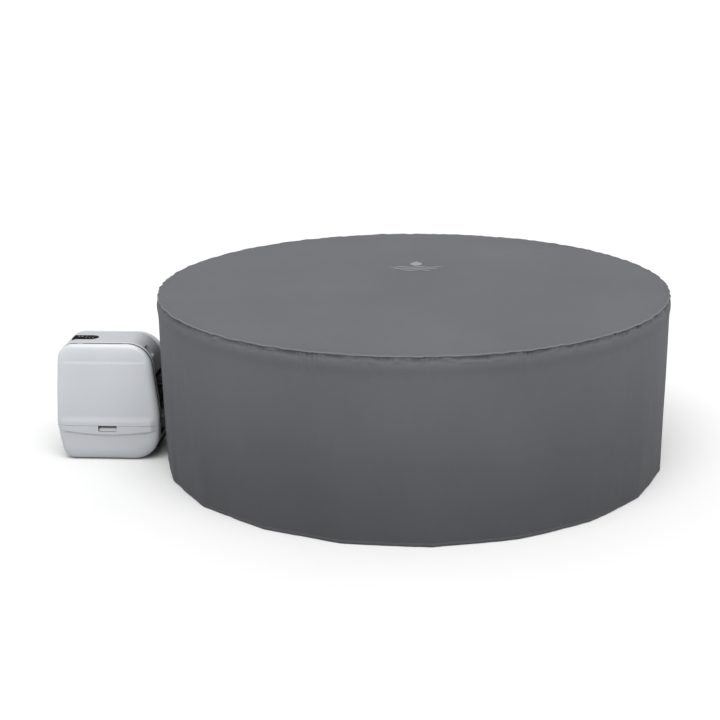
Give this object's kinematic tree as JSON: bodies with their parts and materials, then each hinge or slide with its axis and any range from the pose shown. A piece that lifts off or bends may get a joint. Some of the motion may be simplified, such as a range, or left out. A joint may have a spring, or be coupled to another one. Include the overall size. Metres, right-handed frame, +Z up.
{
  "type": "inflatable hot tub",
  "caption": "Round inflatable hot tub with an air-jet floor ring, an inflatable lid under a fitted fabric cover, and a floor-standing pump and heater unit joined by screw couplings.",
  "frame": {"origin": "on the floor at the centre of the tub", "axes": "+Z up; the pump stands on the -X side and its door faces -Y, the side the viewer stands on"},
  "size_m": [2.4706, 2.051, 0.718],
  "materials": {
    "pvc_wall": "smooth laminated vinyl",
    "cover_fabric": "matte woven polyester",
    "cover_trim": "sewn welt cord",
    "webbing": "woven nylon webbing",
    "valve_plastic": "moulded, satin",
    "casing": "moulded, soft gloss",
    "dark_casing": "moulded, fine grain",
    "black_plastic": "moulded, satin",
    "display_black": "polished",
    "steel": "brushed",
    "filter_paper": "pleated, matte",
    "circuit_board": "solder mask",
    "foot_rubber": "matte"
  },
  "bodies": {
    "tub": {"tub_wall": "pvc_wall", "tub_floor": "pvc_wall", "air_jet_ring": "pvc_wall", "air_duct": "valve_plastic", "inlet_wall_fitting": "valve_plastic", "outlet_wall_fitting": "valve_plastic", "air_wall_fitting": "valve_plastic", "inflation_valve": "valve_plastic", "drain_valve": "valve_plastic", "carry_handle_1": "webbing", "carry_handle_2": "webbing", "carry_handle_3": "webbing"},
    "cover": {"cover_top": "cover_fabric", "cover_skirt": "cover_fabric", "cover_piping": "cover_trim", "inflatable_lid": "pvc_wall"},
    "pump": {"lower_front_panel": "casing", "chassis": "casing", "side_casing": "casing", "base_pan": "casing", "top_deck": "casing", "rear_shell": "casing", "intake_grille": "dark_casing", "port_panel": "dark_casing", "filter_canister": "dark_casing", "suction_pipe": "dark_casing", "delivery_pipe": "dark_casing", "air_pipe": "dark_casing", "inlet_port": "dark_casing", "outlet_port": "dark_casing", "air_port": "dark_casing", "cable_gland": "black_plastic", "circulation_pump": "black_plastic", "air_blower": "black_plastic", "control_bezel": "display_black", "door_hinge_pin": "steel", "heater_vessel": "steel", "filter_cartridge": "filter_paper", "control_board": "circuit_board", "pump_foot_1": "foot_rubber", "pump_foot_2": "foot_rubber", "pump_foot_3": "foot_rubber", "pump_foot_4": "foot_rubber"},
    "door": {"front_door": "casing"},
    "latch": {"door_latch": "casing"},
    "filter_lid": {"filter_lid": "dark_casing"},
    "inlet_strainer": {"inlet_strainer": "valve_plastic"},
    "outlet_strainer": {"outlet_strainer": "valve_plastic"},
    "inflation_cap": {"inflation_cap": "valve_plastic"},
    "drain_cap": {"drain_cap": "valve_plastic"},
    "inlet_union_nut": {"inlet_union_nut": "valve_plastic"},
    "outlet_union_nut": {"outlet_union_nut": "valve_plastic"},
    "air_union_nut": {"air_union_nut": "valve_plastic"},
    "button_power": {"button_power": "display_black"},
    "button_heater": {"button_heater": "display_black"},
    "button_filter": {"button_filter": "display_black"},
    "button_bubbles": {"button_bubbles": "display_black"},
    "button_temp_down": {"button_temp_down": "display_black"},
    "button_temp_up": {"button_temp_up": "display_black"}
  },
  "joints": [
    {"name": "cover_lift", "type": "slide", "parent": "tub", "child": "cover", "axis": [0, 0, 1], "range_m": [0, 0.8]},
    {"name": "pump_undock", "type": "slide", "parent": "tub", "child": "pump", "axis": [-1, 0, 0], "range_m": [0, 0.3]},
    {"name": "inlet_nut_turn", "type": "hinge", "parent": "tub", "child": "inlet_union_nut", "pos_m": [-1.036, -0.08, 0.15], "axis": [-1, 0, 0], "range_deg": [0, 540]},
    {"name": "outlet_nut_turn", "type": "hinge", "parent": "tub", "child": "outlet_union_nut", "pos_m": [-1.036, 0.08, 0.15], "axis": [-1, 0, 0], "range_deg": [0, 540]},
    {"name": "air_nut_turn", "type": "hinge", "parent": "tub", "child": "air_union_nut", "pos_m": [-1.036, 0, 0.3], "axis": [-1, 0, 0], "range_deg": [0, 540]},
    {"name": "inlet_strainer_turn", "type": "hinge", "parent": "tub", "child": "inlet_strainer", "pos_m": [-0.7, -0.08, 0.15], "axis": [1, 0, 0], "range_deg": [0, 90]},
    {"name": "outlet_strainer_turn", "type": "hinge", "parent": "tub", "child": "outlet_strainer", "pos_m": [-0.7, 0.08, 0.15], "axis": [1, 0, 0], "range_deg": [0, 90]},
    {"name": "inflation_cap_turn", "type": "hinge", "parent": "tub", "child": "inflation_cap", "pos_m": [-0.87764, -0.44718, 0.545], "axis": [-0.891, -0.454, 0], "range_deg": [0, 540]},
    {"name": "drain_cap_turn", "type": "hinge", "parent": "tub", "child": "drain_cap", "pos_m": [-0.55248, -0.81909, 0.104], "axis": [-0.5592, -0.829, 0], "range_deg": [0, 540]},
    {"name": "door_hinge", "type": "hinge", "parent": "pump", "child": "door", "pos_m": [-1.2405, -0.156, 0.483], "axis": [-1, 0, 0], "range_deg": [0, 80]},
    {"name": "latch_press", "type": "slide", "parent": "pump", "child": "latch", "axis": [0, 1, 0], "range_m": [0, 0.0035], "stiffness_N_per_m": 600, "springref_m": -0.002},
    {"name": "filter_lid_turn", "type": "hinge", "parent": "pump", "child": "filter_lid", "pos_m": [-1.29, -0.155, 0.31], "axis": [0, -1, 0], "range_deg": [0, 90]},
    {"name": "power_press", "type": "slide", "parent": "pump", "child": "button_power", "axis": [0, 0, -1], "range_m": [0, 0.001], "stiffness_N_per_m": 400, "springref_m": -0.001},
    {"name": "heater_press", "type": "slide", "parent": "pump", "child": "button_heater", "axis": [0, 0, -1], "range_m": [0, 0.001], "stiffness_N_per_m": 400, "springref_m": -0.001},
    {"name": "filter_press", "type": "slide", "parent": "pump", "child": "button_filter", "axis": [0, 0, -1], "range_m": [0, 0.001], "stiffness_N_per_m": 400, "springref_m": -0.001},
    {"name": "bubbles_press", "type": "slide", "parent": "pump", "child": "button_bubbles", "axis": [0, 0, -1], "range_m": [0, 0.001], "stiffness_N_per_m": 400, "springref_m": -0.001},
    {"name": "temp_down_press", "type": "slide", "parent": "pump", "child": "button_temp_down", "axis": [0, 0, -1], "range_m": [0, 0.001], "stiffness_N_per_m": 400, "springref_m": -0.001},
    {"name": "temp_up_press", "type": "slide", "parent": "pump", "child": "button_temp_up", "axis": [0, 0, -1], "range_m": [0, 0.001], "stiffness_N_per_m": 400, "springref_m": -0.001}
  ]
}
